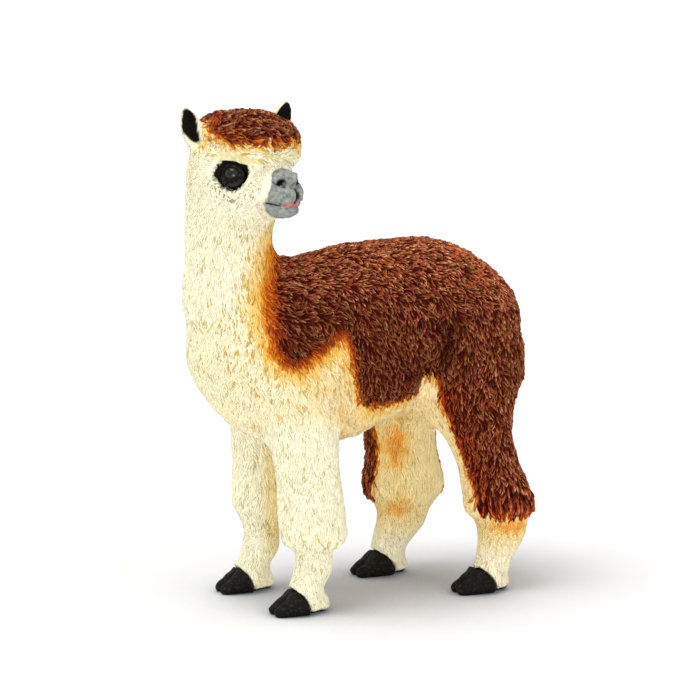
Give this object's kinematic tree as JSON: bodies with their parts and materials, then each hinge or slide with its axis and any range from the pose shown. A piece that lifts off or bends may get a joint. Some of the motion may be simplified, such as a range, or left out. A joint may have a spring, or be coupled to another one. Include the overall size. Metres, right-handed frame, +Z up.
{
  "type": "toy alpaca figurine",
  "caption": "Standing toy alpaca with its head turned to the left, moulded with a deep fleece, a topknot and cloven feet.",
  "frame": {"origin": "on the floor under the middle of the figurine's box", "axes": "+X towards the animal's chest, +Y to the animal's left, +Z up"},
  "size_m": [0.0762, 0.0388, 0.1001],
  "materials": {
    "brown_fleece": "satin paint, dry-brushed on the ridges",
    "cream_fleece": "satin paint with an ochre wash in the grooves",
    "muzzle": "satin paint",
    "hoof": "satin paint",
    "eye": "gloss paint"
  },
  "bodies": {
    "root": {"trunk": "brown_fleece", "tail": "brown_fleece", "topknot": "brown_fleece", "neck": "cream_fleece", "head": "cream_fleece", "ear_left": "cream_fleece", "ear_right": "cream_fleece", "leg_front_left": "cream_fleece", "leg_front_right": "cream_fleece", "leg_hind_left": "brown_fleece", "leg_hind_right": "brown_fleece", "muzzle": "muzzle", "eye_left": "eye", "eye_right": "eye", "hoof_front_left": "hoof", "hoof_front_right": "hoof", "hoof_hind_left": "hoof", "hoof_hind_right": "hoof"}
  },
  "joints": []
}
